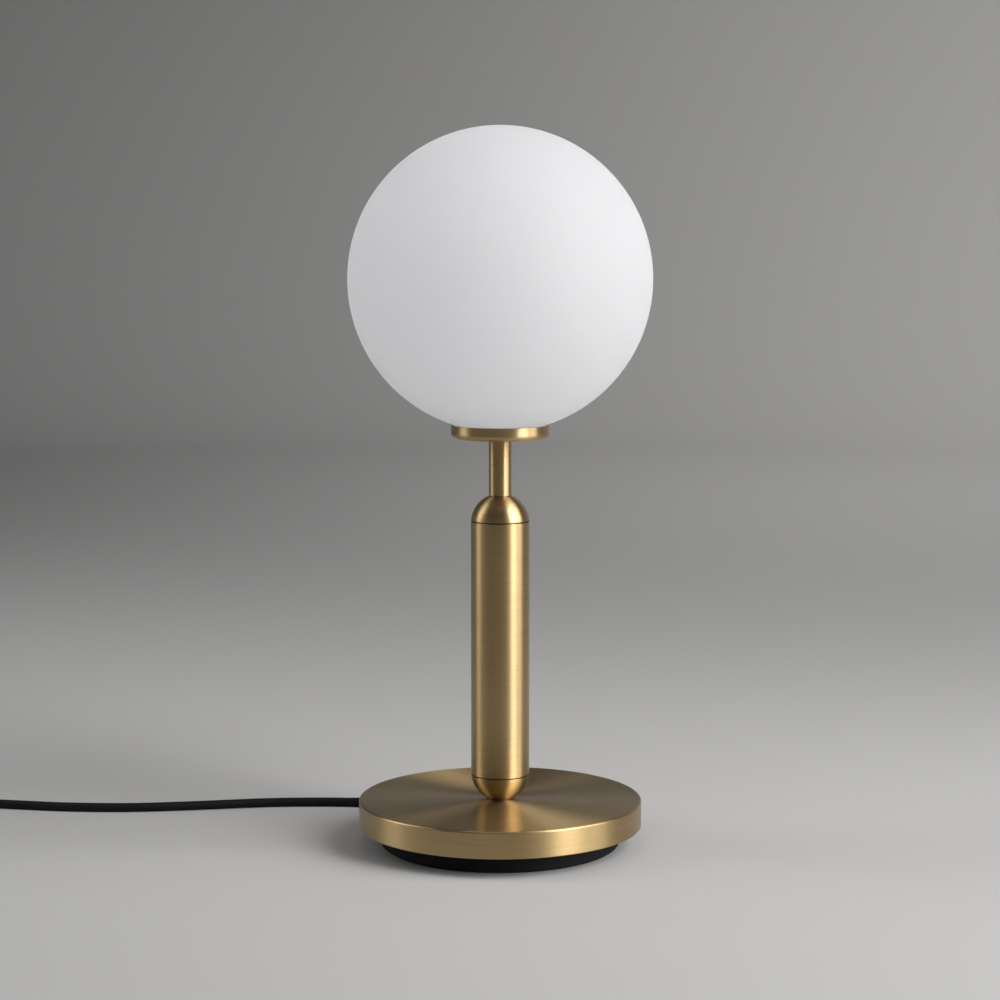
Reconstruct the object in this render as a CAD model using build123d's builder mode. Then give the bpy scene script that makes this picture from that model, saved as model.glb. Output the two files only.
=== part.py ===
from build123d import *
import math
import os

os.makedirs("parts", exist_ok=True)

# A table lamp with an opal glass globe, standing on z = 0 with its axis on Z.
# The mains lead leaves at the rear left and runs along -X.

# ---- Driving dimensions, millimetres ----

# Clearances
slip_gap = 0.1  # round pieces that slide together by hand
thread_gap = 0.05  # round a screw or the rod in a tapped hole, whose thread is left plain
seat_gap = 0.3  # round and under a piece that comes off or moves

# Base
base_diameter = 170.0
cover_height = 16.0
cover_wall = 1.5
cover_top_edge = 1.2
cover_foot_edge = 0.6
plinth_diameter = 143.0
plinth_height = 11.0
plinth_wall = 2.5
plinth_floor = 2.2
plinth_edge = 0.6
pad_thickness = 1.0
pad_inset = 2.0
pad_bore_radius = 12.0
weight_side_gap = 0.4
weight_edge = 1.0
recess_radius = 20.0
recess_depth = 7.0
plinth_screw_count = 3
plinth_screw_circle = 55.0
plinth_screw_turn = 40.0  # degrees from +X to the first screw
plinth_screw_radius = 2.0
plinth_screw_head = 3.8
plinth_screw_length = 18.0
plinth_boss_radius = 5.0

# Threaded rod that clamps the lamp together, and its nuts and washers
rod_diameter = 10.0
rod_bore = 7.0
nut_across_flats = 14.0
rod_nut_height = 5.0
cup_nut_height = 4.0
rod_washer_radius = 10.0
rod_washer_thickness = 1.5
cup_washer_radius = 9.0
cup_washer_thickness = 1.0
rod_end_inset = 0.3

# Column
stem_diameter = 35.0
stem_wall = 1.5
stem_length = 153.5
seam_chamfer = 0.35
dome_sink = 1.2  # how far a dome's centre lies inside the column's end
spigot_length = 8.0
bush_height = 10.0
neck_diameter = 13.5
neck_length = 34.5
neck_shoulder = 0.25
neck_chamfer = 0.25

# Cup, globe and its silicone ring
cup_diameter = 58.4
cup_height = 8.0
cup_wall = 1.0
cup_floor = 1.2
cup_edge_radius = 3.2
cup_rim_edge = 0.3
globe_diameter = 180.0
globe_wall = 3.0
globe_sink = 4.2  # how far the whole sphere would reach below the cup's rim
neck_bore_radius = 23.9  # the glass neck lets a 45 mm bulb through
neck_blend = 1.5
neck_lip_edge = 1.2
gasket_thickness = 1.2
gasket_width = 3.8
gasket_lip_height = 3.6

# Lampholder for an E14 cap
holder_radius = 14.0
holder_foot_radius = 9.0
holder_wall = 1.6
holder_cone_height = 6.0
holder_base_height = 18.0
holder_boss_radius = 7.0
holder_boss_height = 6.0
holder_floor = 2.2
core_flange_height = 2.5
core_ledge = 1.0
core_radius = 9.3
core_height = 4.0
shell_height = 28.0
shell_inner_radius = 9.9
shell_lip_radius = 8.7
shell_lip_height = 2.0
shell_edge = 1.0
socket_root_radius = 7.7
socket_crest_radius = 7.25  # inside of the threaded shell, clear of the cap
socket_wall = 0.4
socket_height = 20.0
thread_pitch = 2.82
thread_turns = 6
contact_radius = 2.0
contact_strip = 0.5
contact_height = 5.0
terminal_offset = 6.0
terminal_length = 6.0
terminal_width = 5.0
terminal_height = 5.0
terminal_screw_radius = 1.25
terminal_head_radius = 2.2
terminal_head_height = 1.2

# Golf ball bulb with an E14 cap
bulb_diameter = 45.0
bulb_length = 78.0
bulb_wall = 1.2
cap_crest_radius = 6.95
cap_root_radius = 6.4
cap_bore_radius = 5.8
cap_turns = 5
cap_collar = 1.3
tip_radius = 2.4
tip_height = 1.3
insulator_radius = 6.2
insulator_height = 2.4
spigot_wall = 1.2
bulb_spigot_length = 12.0
housing_foot_radius = 8.4
housing_wall = 1.3
envelope_cut = 16.8  # from the envelope's centre down to its open edge
board_thickness = 1.6
board_radius = 13.4
board_seat = 0.9
chip_count = 6
chip_circle = 8.0
chip_size = 3.0
chip_height = 0.7
driver_width = 8.0
driver_thickness = 1.2
driver_length = 24.0
capacitor_radius = 2.2
capacitor_length = 8.0
capacitor_sink = 0.3

# Mains lead, and what holds it in the base
cord_diameter = 5.6
exit_azimuth = 130.0  # degrees from +X, so the rear left
exit_height = 6.5
relief_length = 24.0
relief_root_radius = 4.8
relief_tip_radius = 3.6
relief_neck_radius = 3.6
relief_flange_radius = 4.2
relief_flange_length = 1.5
relief_spot_face = 0.3  # how deep the wall is faced flat behind the flange
relief_rib_count = 5
relief_rib_depth = 0.6
sheath_end = 34.0  # how far from the axis the sheath is stripped
clamp_distance = 50.0
clamp_width = 22.0
clamp_length = 8.0
clamp_foot = 2.2
clamp_arch = 1.9
clamp_screw_offset = 8.0
clamp_screw_radius = 1.25
clamp_screw_length = 6.0
clamp_head_radius = 2.4
clamp_head_height = 1.8
clamp_post_radius = 3.2
clamp_post_height = 2.6
wire_radius = 1.1
wire_offset = 1.3
wire_bend_radius = 6.5
wire_top_radius = 1.3
wire_in_terminal = 3.0
wire_corner = 0.8  # how far its two last bends stay clear of the rod and the terminal

# Inline switch
switch_length = 60.0
switch_width = 24.0
switch_height = 18.0
switch_split = 6.5  # height of the joint between the two halves, where the lead comes in
switch_wall = 1.8
switch_nose_radius = 6.0
switch_nose_cut = 1.8  # how much of the round nose the flat end takes off
switch_taper = 13.8  # from the centre of each round nose to that of the belly beside it
switch_top_edge = 2.5
switch_foot_edge = 0.8
window_length = 17.6
window_width = 9.0
rocker_half_length = 7.8
rocker_width = 8.4
rocker_depth = 5.0  # from the cover's top down to the pin
rocker_rise = 6.8  # from the pin up to the rocker's ends
rocker_dip = 5.6  # from the pin up to the middle of its hollow top
rocker_skirt = 0.5
rocker_hub = 3.0
rocker_hub_drop = 2.0
rocker_finger = 1.2
rocker_finger_drop = 5.6
rocker_tilt = 8.0  # degrees to each side of level
pin_radius = 1.2
pin_gap = 0.05
ear_gap = 0.5
ear_thickness = 1.5
ear_length = 7.0
ear_drop = 3.0
core_hole_radius = 2.2
switch_screw_offset = 8.0
switch_screw_radius = 1.1
switch_screw_head = 2.1
switch_screw_length = 13.0
switch_boss_radius = 2.6
switch_terminal_offset = 15.0
bridge_length = 34.0
bridge_width = 3.6
bridge_thickness = 0.5
fulcrum_length = 3.0

# Flat two-pin plug
plug_length = 36.0
plug_width = 35.3
plug_thickness = 13.7
plug_nose_half_width = 6.0
plug_waist_half_width = 7.5
plug_waist = 8.0
plug_shoulder = 20.0
plug_corner = 3.0
plug_edge = 2.0
pin_spacing = 18.6
pin_length = 19.0
contact_pin_radius = 2.0
sleeve_length = 10.0
sleeve_wall = 0.45
pin_depth = 12.0
pin_tip_edge = 0.8
plug_relief_length = 25.0
plug_relief_root = 5.0
plug_relief_tip = 3.7

# Lead's route on the floor: the points after its straight start out of the strain relief and up
# to its straight end into the switch, chosen by hand along the photographed line
cord_radius = cord_diameter / 2
lead_start_run = 15.0
lead_points = [
    (-87.5, 92.6, cord_radius),
    (-113.0, 94.5, cord_radius),
    (-150.0, 92.9, cord_radius),
    (-193.0, 84.2, cord_radius),
    (-237.0, 78.0, cord_radius),
    (-279.0, 80.4, cord_radius),
    (-308.0, 86.4, cord_radius),
    (-327.0, 89.8, cord_radius),
]
switch_entry = (-361.0, 93.0)
switch_heading = 176.0  # degrees from +X
end_run = 16.0  # straight runs into and out of the switch, the coil and the plug

# Coil of what the picture doesn't show, wound anticlockwise and seen from above
coil_inner_radius = 24.4
coil_pitch = 6.3
coil_layer_step = 6.2
coil_turns_in = 3.0
coil_turns_out = 2.75
coil_start = (-467.0, 97.0)
tie_width = 10.0
tie_thickness = 0.6
tie_gap = 0.3
tie_bulge = 0.5  # how far the turns bow inwards across the tie's width

# Tail from the coil to the plug
tail_points = [
    (-511.5, 17.0, cord_radius),
    (-506.0, -3.0, cord_radius),
]
plug_entry = (-481.0, -27.5)
plug_heading = -30.0

# ---- Heights and radii that follow ----

base_radius = base_diameter / 2
plinth_radius = plinth_diameter / 2
rod_radius = rod_diameter / 2
rod_hole_radius = rod_radius + slip_gap
tapped_rod_radius = rod_radius + thread_gap
stem_radius = stem_diameter / 2
neck_radius = neck_diameter / 2
cup_radius = cup_diameter / 2
globe_radius = globe_diameter / 2

plinth_bottom = pad_thickness
plinth_floor_top = plinth_bottom + plinth_floor
cover_bottom = plinth_bottom + plinth_height
base_top = cover_bottom + cover_height
recess_top = cover_bottom + recess_depth
rod_bottom = cover_bottom + rod_end_inset

dome_tip_radius = neck_radius + neck_shoulder
dome_height = math.sqrt(stem_radius**2 - dome_tip_radius**2) - dome_sink
dome_seam_radius = math.sqrt(stem_radius**2 - dome_sink**2)
lower_seam = base_top + dome_height
upper_seam = lower_seam + stem_length
dome_top = upper_seam + dome_height
cup_bottom = dome_top + neck_length
cup_floor_top = cup_bottom + cup_floor
cup_rim = cup_bottom + cup_height

gasket_seat = cup_floor_top + gasket_thickness
globe_bottom = gasket_seat + seat_gap
globe_centre = cup_rim - globe_sink + globe_radius
glass_neck_radius = neck_bore_radius + globe_wall

cup_nut_bottom = cup_floor_top + cup_washer_thickness
holder_bottom = cup_nut_bottom + cup_nut_height
holder_joint = holder_bottom + holder_base_height
core_bottom = holder_joint - core_flange_height
terminal_bottom = core_bottom - terminal_height
rod_top = holder_bottom + holder_boss_height
socket_bottom = holder_joint + core_height
bulb_bottom = socket_bottom + contact_height + seat_gap
bulb_centre = bulb_bottom + bulb_length - bulb_diameter / 2

# Frames: one with x along the lead inside the base, one square to it where it comes out
exit_direction = Vector(1, 0, 0).rotate(Axis.Z, exit_azimuth)
exit_side = exit_direction.rotate(Axis.Z, 90)
inside_frame = Plane(origin=(0, 0, 0), x_dir=exit_direction, z_dir=(0, 0, 1))
exit_frame = Plane(origin=(0, 0, exit_height), x_dir=exit_side, z_dir=exit_direction)
relief_tip = plinth_radius + relief_length


def save(piece, name):
    """Label a finished piece and write it under that name."""
    piece.part.label = name
    export_step(piece.part, f"parts/{name}.step")


def widest_rims(piece):
    """The full circles of largest radius among a piece's edges, lowest first."""
    circles = piece.edges().filter_by(GeomType.CIRCLE).filter_by(lambda edge: edge.is_closed)
    return circles.group_by(SortBy.RADIUS)[-1].sort_by(Axis.Z)


def upright(origin, along):
    """A standing plane with x along a level heading and y up."""
    return Plane(origin=origin, x_dir=along, z_dir=along.cross(Vector(0, 0, 1)))


def bend_radii(points):
    """For each corner, 0.45 of the shorter run over the tangent of half the turn."""
    radii = []
    for before, corner, after in zip(points, points[1:], points[2:]):
        arriving = Vector(corner) - Vector(before)
        leaving = Vector(after) - Vector(corner)
        half_turn = math.radians(arriving.get_angle(leaving)) / 2
        radii.append(0.45 * min(arriving.length, leaving.length) / math.tan(half_turn))
    return radii


def cord_run(points, name):
    """A round length of lead along straight runs with tangent arcs at their corners."""
    radii = bend_radii(points)
    with BuildPart() as cord:
        with BuildLine() as route:
            FilletPolyline(*points, radius=radii)
        path = route.wires()[0]
        with BuildSketch(Plane(origin=path @ 0, z_dir=path % 0)):
            Circle(cord_radius)
        sweep(path=path)
    save(cord, name)
    share = cord.part.volume / (math.pi * cord_radius**2 * path.length)
    print(name, "length", round(path.length, 1), "volume share", round(share, 4))
    print(name, "radii", [round(radius, 1) for radius in radii])
    return path.length


# ---- Base ----

with BuildPart() as base_cover:
    with BuildSketch(Plane.XZ):
        with BuildLine():
            Polyline(
                (rod_hole_radius, base_top),
                (base_radius, base_top),
                (base_radius, cover_bottom),
                (base_radius - cover_wall, cover_bottom),
                (base_radius - cover_wall, base_top - cover_wall),
                (rod_hole_radius, base_top - cover_wall),
                close=True,
            )
        make_face()
    revolve(axis=Axis.Z)
    fillet(widest_rims(base_cover)[-1], cover_top_edge)
    fillet(widest_rims(base_cover)[0], cover_foot_edge)
save(base_cover, "base_cover")

weight_radius = base_radius - cover_wall - weight_side_gap
weight_top = base_top - cover_wall
with BuildPart() as base_weight:
    with BuildSketch(Plane.XZ):
        with BuildLine():
            Polyline(
                (rod_hole_radius, recess_top),
                (recess_radius, recess_top),
                (recess_radius, cover_bottom),
                (weight_radius, cover_bottom),
                (weight_radius, weight_top),
                (rod_hole_radius, weight_top),
                close=True,
            )
        make_face()
    revolve(axis=Axis.Z)
    chamfer(widest_rims(base_weight), weight_edge)
    with BuildSketch(Plane.XY.offset(cover_bottom)):
        with PolarLocations(plinth_screw_circle, plinth_screw_count, plinth_screw_turn):
            Circle(plinth_screw_radius + thread_gap)
    extrude(amount=plinth_bottom + plinth_screw_length + slip_gap - cover_bottom, mode=Mode.SUBTRACT)
save(base_weight, "base_weight")

clamp_posts = [(clamp_distance, clamp_screw_offset), (clamp_distance, -clamp_screw_offset)]
clamp_post_top = plinth_floor_top + clamp_post_height
relief_hole_radius = relief_neck_radius + slip_gap
flange_pocket_radius = relief_flange_radius + seat_gap
flange_seat = plinth_radius - plinth_wall + relief_spot_face
flange_inner = flange_seat - slip_gap - relief_flange_length
with BuildPart() as plinth:
    with BuildSketch(Plane.XZ):
        with BuildLine():
            Polyline(
                (0, plinth_bottom),
                (plinth_radius, plinth_bottom),
                (plinth_radius, cover_bottom),
                (plinth_radius - plinth_wall, cover_bottom),
                (plinth_radius - plinth_wall, plinth_floor_top),
                (0, plinth_floor_top),
                close=True,
            )
        make_face()
    revolve(axis=Axis.Z)
    fillet(widest_rims(plinth)[0], plinth_edge)
    with BuildSketch(Plane.XY.offset(plinth_floor_top)):
        with PolarLocations(plinth_screw_circle, plinth_screw_count, plinth_screw_turn):
            Circle(plinth_boss_radius)
    extrude(amount=cover_bottom - plinth_floor_top)
    with Locations(-Plane.XY.offset(plinth_bottom)):
        with PolarLocations(plinth_screw_circle, plinth_screw_count, -plinth_screw_turn):
            CounterSinkHole(
                plinth_screw_radius + slip_gap,
                plinth_screw_head + slip_gap,
                depth=plinth_height,
                counter_sink_angle=90,
            )
    with BuildSketch(inside_frame.offset(plinth_floor_top)):
        with Locations(*clamp_posts):
            Circle(clamp_post_radius)
    extrude(amount=clamp_post_height)
    with BuildSketch(inside_frame.offset(clamp_post_top)):
        with Locations(*clamp_posts):
            Circle(clamp_screw_radius + thread_gap)
    extrude(amount=-clamp_screw_length + clamp_foot - slip_gap, mode=Mode.SUBTRACT)
    with BuildSketch(exit_frame.offset(flange_inner - slip_gap)):
        Circle(flange_pocket_radius)
    extrude(amount=flange_seat - flange_inner + slip_gap, mode=Mode.SUBTRACT)
    with BuildSketch(exit_frame.offset(plinth_radius)):
        Circle(relief_hole_radius)
    extrude(amount=-2 * plinth_wall, mode=Mode.SUBTRACT)
save(plinth, "plinth")

with BuildPart() as base_pad:
    with BuildSketch():
        Circle(plinth_radius - pad_inset)
        Circle(pad_bore_radius, mode=Mode.SUBTRACT)
    extrude(amount=pad_thickness)
save(base_pad, "base_pad")

screw_seat = (Align.CENTER, Align.CENTER, Align.MIN)
with BuildPart(Plane.XY.offset(plinth_bottom)) as plinth_screws:
    with PolarLocations(plinth_screw_circle, plinth_screw_count, plinth_screw_turn):
        Cone(
            plinth_screw_head,
            plinth_screw_radius,
            plinth_screw_head - plinth_screw_radius,
            align=screw_seat,
        )
        Cylinder(plinth_screw_radius, plinth_screw_length, align=screw_seat)
save(plinth_screws, "plinth_screws")

# ---- Rod, nuts and washers ----

with BuildPart() as tie_rod:
    with BuildSketch(Plane.XY.offset(rod_bottom)):
        Circle(rod_radius)
        Circle(rod_bore / 2, mode=Mode.SUBTRACT)
    extrude(amount=rod_top - rod_bottom)
    chamfer(widest_rims(tie_rod), seam_chamfer)
save(tie_rod, "tie_rod")

rod_nut_bottom = recess_top - rod_washer_thickness - rod_nut_height
washers = (
    ("rod_washer", recess_top - rod_washer_thickness, rod_washer_radius, rod_washer_thickness),
    ("cup_washer", cup_floor_top, cup_washer_radius, cup_washer_thickness),
)
for name, bottom, radius, thickness in washers:
    with BuildPart() as washer:
        with BuildSketch(Plane.XY.offset(bottom)):
            Circle(radius)
            Circle(rod_hole_radius, mode=Mode.SUBTRACT)
        extrude(amount=thickness)
    save(washer, name)

nuts = (("rod_nut", rod_nut_bottom, rod_nut_height), ("cup_nut", cup_nut_bottom, cup_nut_height))
for name, bottom, height in nuts:
    with BuildPart() as nut:
        with BuildSketch(Plane.XY.offset(bottom)):
            RegularPolygon(nut_across_flats / 2, 6, major_radius=False)
            Circle(tapped_rod_radius, mode=Mode.SUBTRACT)
        extrude(amount=height)
    save(nut, name)

# ---- Column: the two domes are the same piece, one of them upside down ----

spigot_radius = stem_radius - stem_wall - slip_gap
arc_middle = math.radians(45)
for name, seam, sketch_normal in (
    ("lower_dome", lower_seam, (0, 1, 0)),
    ("upper_dome", upper_seam, (0, -1, 0)),
):
    with BuildPart() as dome:
        with BuildSketch(Plane(origin=(0, 0, seam), x_dir=(1, 0, 0), z_dir=sketch_normal)):
            with BuildLine():
                Polyline(
                    (dome_tip_radius, dome_height),
                    (rod_hole_radius, dome_height),
                    (rod_hole_radius, -spigot_length),
                    (spigot_radius, -spigot_length),
                    (spigot_radius, 0),
                    (dome_seam_radius, 0),
                )
                ThreePointArc(
                    (dome_seam_radius, 0),
                    (
                        stem_radius * math.cos(arc_middle),
                        stem_radius * math.sin(arc_middle) - dome_sink,
                    ),
                    (dome_tip_radius, dome_height),
                )
            make_face()
        revolve(axis=Axis.Z)
        chamfer(widest_rims(dome), seam_chamfer)
    save(dome, name)

with BuildPart() as stem_tube:
    with BuildSketch(Plane.XY.offset(lower_seam)):
        Circle(stem_radius)
        Circle(stem_radius - stem_wall, mode=Mode.SUBTRACT)
    extrude(amount=stem_length)
    chamfer(widest_rims(stem_tube), seam_chamfer)
save(stem_tube, "stem_tube")

bush_bottom = (lower_seam + upper_seam - bush_height) / 2
with BuildPart() as centring_bush:
    with BuildSketch(Plane.XY.offset(bush_bottom)):
        Circle(spigot_radius)
        Circle(rod_hole_radius, mode=Mode.SUBTRACT)
    extrude(amount=bush_height)
save(centring_bush, "centring_bush")

with BuildPart() as neck_tube:
    with BuildSketch(Plane.XY.offset(dome_top)):
        Circle(neck_radius)
        Circle(rod_hole_radius, mode=Mode.SUBTRACT)
    extrude(amount=neck_length)
    chamfer(widest_rims(neck_tube)[0], neck_chamfer)
save(neck_tube, "neck_tube")

# ---- Cup and silicone ring ----

cup_inner_radius = cup_radius - cup_wall
cup_inner_edge = cup_edge_radius - cup_wall
with BuildPart() as globe_cup:
    with BuildSketch(Plane.XZ):
        with BuildLine():
            Polyline(
                (rod_hole_radius, cup_bottom),
                (cup_radius, cup_bottom),
                (cup_radius, cup_rim),
                (cup_inner_radius, cup_rim),
                (cup_inner_radius, cup_floor_top),
                (rod_hole_radius, cup_floor_top),
                close=True,
            )
        make_face()
    revolve(axis=Axis.Z)
    fillet(widest_rims(globe_cup)[0], cup_edge_radius)
    inner = globe_cup.edges().filter_by(GeomType.CIRCLE).filter_by(
        lambda edge: abs(edge.radius - cup_inner_radius) < slip_gap
    )
    fillet(inner.sort_by(Axis.Z)[0], cup_inner_edge)
    fillet(widest_rims(globe_cup)[-1], cup_rim_edge)
save(globe_cup, "globe_cup")

gasket_outer_radius = cup_inner_radius - slip_gap
gasket_lip_radius = glass_neck_radius + seat_gap
with BuildPart() as globe_gasket:
    with BuildSketch(Plane.XZ):
        with BuildLine():
            Polyline(
                (gasket_outer_radius - gasket_width, cup_floor_top),
                (gasket_outer_radius, cup_floor_top),
                (gasket_outer_radius, gasket_seat + gasket_lip_height),
                (gasket_lip_radius, gasket_seat + gasket_lip_height),
                (gasket_lip_radius, gasket_seat),
                (gasket_outer_radius - gasket_width, gasket_seat),
                close=True,
            )
        make_face()
    revolve(axis=Axis.Z)
    fillet(widest_rims(globe_gasket)[0], cup_inner_edge)
save(globe_gasket, "globe_gasket")

# ---- Globe: a sphere that runs into a short straight neck ----

globe_inner_radius = globe_radius - globe_wall
outer_neck_rise = globe_centre - math.sqrt(globe_radius**2 - glass_neck_radius**2)
inner_neck_rise = globe_centre - math.sqrt(globe_inner_radius**2 - neck_bore_radius**2)
with BuildPart() as globe:
    with BuildSketch(Plane.XZ) as globe_outline:
        with BuildLine():
            ThreePointArc(
                (glass_neck_radius, outer_neck_rise),
                (globe_radius, globe_centre),
                (0, globe_centre + globe_radius),
            )
            Line((0, globe_centre + globe_radius), (0, globe_centre + globe_inner_radius))
            ThreePointArc(
                (0, globe_centre + globe_inner_radius),
                (globe_inner_radius, globe_centre),
                (neck_bore_radius, inner_neck_rise),
            )
            Polyline(
                (neck_bore_radius, inner_neck_rise),
                (neck_bore_radius, globe_bottom),
                (glass_neck_radius, globe_bottom),
                (glass_neck_radius, outer_neck_rise),
            )
        make_face()
        fillet(globe_outline.vertices().sort_by(Axis.Y)[:2], neck_lip_edge)
        blends = globe_outline.vertices().filter_by(
            lambda corner: abs(corner.Y - outer_neck_rise) < slip_gap
            or abs(corner.Y - inner_neck_rise) < slip_gap
        )
        fillet(blends, neck_blend)
    revolve(axis=Axis.Z)
save(globe, "globe")

# ---- Lampholder ----

with BuildPart() as holder_base:
    with BuildSketch(Plane.XZ):
        with BuildLine():
            Polyline(
                (tapped_rod_radius, holder_bottom),
                (holder_foot_radius, holder_bottom),
                (holder_radius, holder_bottom + holder_cone_height),
                (holder_radius, holder_joint),
                (holder_radius - holder_wall, holder_joint),
                (holder_radius - holder_wall, core_bottom),
                (holder_radius - holder_wall - core_ledge, core_bottom),
                (holder_radius - holder_wall - core_ledge, holder_bottom + holder_cone_height),
                (holder_foot_radius - slip_gap, holder_bottom + holder_floor),
                (holder_boss_radius, holder_bottom + holder_floor),
                (holder_boss_radius, holder_bottom + holder_boss_height),
                (tapped_rod_radius, holder_bottom + holder_boss_height),
                close=True,
            )
        make_face()
    revolve(axis=Axis.Z)
save(holder_base, "holder_base")

with BuildPart() as holder_core:
    with BuildSketch(Plane.XY.offset(core_bottom)):
        Circle(holder_radius - holder_wall - slip_gap)
    extrude(amount=core_flange_height)
    with BuildSketch(Plane.XY.offset(holder_joint)):
        Circle(core_radius)
    extrude(amount=core_height)
save(holder_core, "holder_core")

with BuildPart() as holder_shell:
    with BuildSketch(Plane.XY.offset(holder_joint)):
        Circle(holder_radius)
    extrude(amount=shell_height)
    fillet(holder_shell.edges().filter_by(GeomType.CIRCLE).sort_by(Axis.Z)[-1], shell_edge)
    with BuildSketch(Plane.XY.offset(holder_joint)):
        Circle(shell_inner_radius)
    extrude(amount=shell_height - shell_lip_height, mode=Mode.SUBTRACT)
    with BuildSketch(Plane.XY.offset(holder_joint)):
        Circle(shell_lip_radius)
    extrude(amount=shell_height, mode=Mode.SUBTRACT)
save(holder_shell, "holder_shell")

# Its threaded shell is rolled from thin sheet: a wall that waves out and in at the thread's pitch
socket_plain = (socket_height - thread_turns * thread_pitch) / 2
with BuildPart() as holder_socket:
    with BuildSketch(Plane.XZ):
        with BuildLine():
            for wall_shift, side in ((0, 0), (socket_wall, 1)):
                near = socket_crest_radius + wall_shift
                far = socket_root_radius + wall_shift
                low = socket_bottom + socket_plain
                high = low + thread_turns * thread_pitch
                Line((near, socket_bottom + (1 - side) * socket_wall), (near, low))
                for turn in range(thread_turns):
                    start = low + turn * thread_pitch
                    ThreePointArc(
                        (near, start), (far, start + thread_pitch / 2), (near, start + thread_pitch)
                    )
                Line((near, high), (near, socket_bottom + socket_height))
            Line(
                (socket_crest_radius, socket_bottom + socket_height),
                (socket_crest_radius + socket_wall, socket_bottom + socket_height),
            )
            Polyline(
                (socket_crest_radius + socket_wall, socket_bottom),
                (contact_radius + 2 * slip_gap, socket_bottom),
                (contact_radius + 2 * slip_gap, socket_bottom + socket_wall),
                (socket_crest_radius, socket_bottom + socket_wall),
            )
        make_face()
    revolve(axis=Axis.Z)
save(holder_socket, "holder_socket")

# Centre contact: a strip bent to a bridge that springs down under the bulb's tip
with BuildPart() as holder_contact:
    with BuildSketch(Plane.XZ.offset(-contact_strip * 2)):
        with Locations((0, socket_bottom)):
            Rectangle(2 * contact_radius * 0.9, contact_height, align=(Align.CENTER, Align.MIN))
            Rectangle(
                2 * contact_radius * 0.9 - 2 * contact_strip,
                contact_height - contact_strip,
                align=(Align.CENTER, Align.MIN),
                mode=Mode.SUBTRACT,
            )
    extrude(amount=4 * contact_strip)
save(holder_contact, "holder_contact")

terminal_places = [(0, terminal_offset), (0, -terminal_offset)]
screw_height = terminal_bottom + terminal_height / 2
with BuildPart() as holder_terminals:
    with BuildSketch(inside_frame.offset(terminal_bottom)):
        with Locations(*terminal_places):
            Rectangle(terminal_length, terminal_width)
    extrude(amount=terminal_height)
    with BuildSketch(inside_frame.offset(terminal_bottom)):
        with Locations(*terminal_places):
            Circle(wire_radius + slip_gap)
    extrude(amount=wire_in_terminal, mode=Mode.SUBTRACT)
    with BuildSketch(Plane(origin=(0, 0, screw_height), x_dir=exit_side, z_dir=exit_direction)):
        with Locations((terminal_offset, 0), (-terminal_offset, 0)):
            Circle(terminal_screw_radius + thread_gap)
    extrude(amount=terminal_length, mode=Mode.SUBTRACT)
save(holder_terminals, "holder_terminals")

with BuildPart() as terminal_screws:
    screw_frame = Plane(origin=(0, 0, screw_height), x_dir=exit_side, z_dir=exit_direction)
    with BuildSketch(screw_frame.offset(terminal_length / 2)):
        with Locations((terminal_offset, 0), (-terminal_offset, 0)):
            Circle(terminal_head_radius)
    extrude(amount=terminal_head_height)
    with BuildSketch(screw_frame.offset(terminal_length / 2)):
        with Locations((terminal_offset, 0), (-terminal_offset, 0)):
            Circle(terminal_screw_radius)
    extrude(amount=-(terminal_length / 2 - wire_radius - 2 * slip_gap))
save(terminal_screws, "terminal_screws")

# ---- Bulb ----

with BuildPart() as bulb_contact:
    with BuildSketch(Plane.XY.offset(bulb_bottom)):
        Circle(tip_radius)
    extrude(amount=tip_height)
    fillet(bulb_contact.edges().sort_by(Axis.Z)[0], tip_height / 2)
save(bulb_contact, "bulb_contact")

insulator_bottom = bulb_bottom + tip_height
cap_bottom = insulator_bottom + insulator_height
cap_thread_top = cap_bottom + cap_turns * thread_pitch
cap_top = cap_thread_top + cap_collar
with BuildPart(Plane.XY.offset(insulator_bottom)) as bulb_insulator:
    Cone(tip_radius + seat_gap, insulator_radius, insulator_height, align=screw_seat)
save(bulb_insulator, "bulb_insulator")

with BuildPart() as bulb_cap:
    with BuildSketch(Plane.XZ):
        with BuildLine():
            for turn in range(cap_turns):
                start = cap_bottom + turn * thread_pitch
                ThreePointArc(
                    (cap_root_radius, start),
                    (cap_crest_radius, start + thread_pitch / 2),
                    (cap_root_radius, start + thread_pitch),
                )
            Polyline(
                (cap_root_radius, cap_thread_top),
                (cap_root_radius, cap_top),
                (cap_bore_radius, cap_top),
                (cap_bore_radius, cap_bottom),
                (cap_root_radius, cap_bottom),
            )
        make_face()
    revolve(axis=Axis.Z)
save(bulb_cap, "bulb_cap")

envelope_bottom = bulb_centre - envelope_cut
bulb_radius = bulb_diameter / 2
bulb_inner_radius = bulb_radius - bulb_wall
envelope_edge_radius = math.sqrt(bulb_radius**2 - envelope_cut**2)
envelope_inner_edge = math.sqrt(bulb_inner_radius**2 - envelope_cut**2)
board_bottom = envelope_bottom - board_thickness
bulb_spigot_radius = cap_bore_radius - slip_gap
with BuildPart() as bulb_housing:
    with BuildSketch(Plane.XZ):
        with BuildLine():
            Polyline(
                (bulb_spigot_radius - spigot_wall, cap_top - bulb_spigot_length),
                (bulb_spigot_radius, cap_top - bulb_spigot_length),
                (bulb_spigot_radius, cap_top),
                (housing_foot_radius, cap_top),
                (envelope_edge_radius, envelope_bottom),
                (board_radius + slip_gap, envelope_bottom),
                (board_radius + slip_gap, board_bottom),
                (board_radius - board_seat, board_bottom),
                (housing_foot_radius - housing_wall, cap_top + housing_wall),
                (bulb_spigot_radius - spigot_wall, cap_top + housing_wall),
                close=True,
            )
        make_face()
    revolve(axis=Axis.Z)
save(bulb_housing, "bulb_housing")

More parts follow.
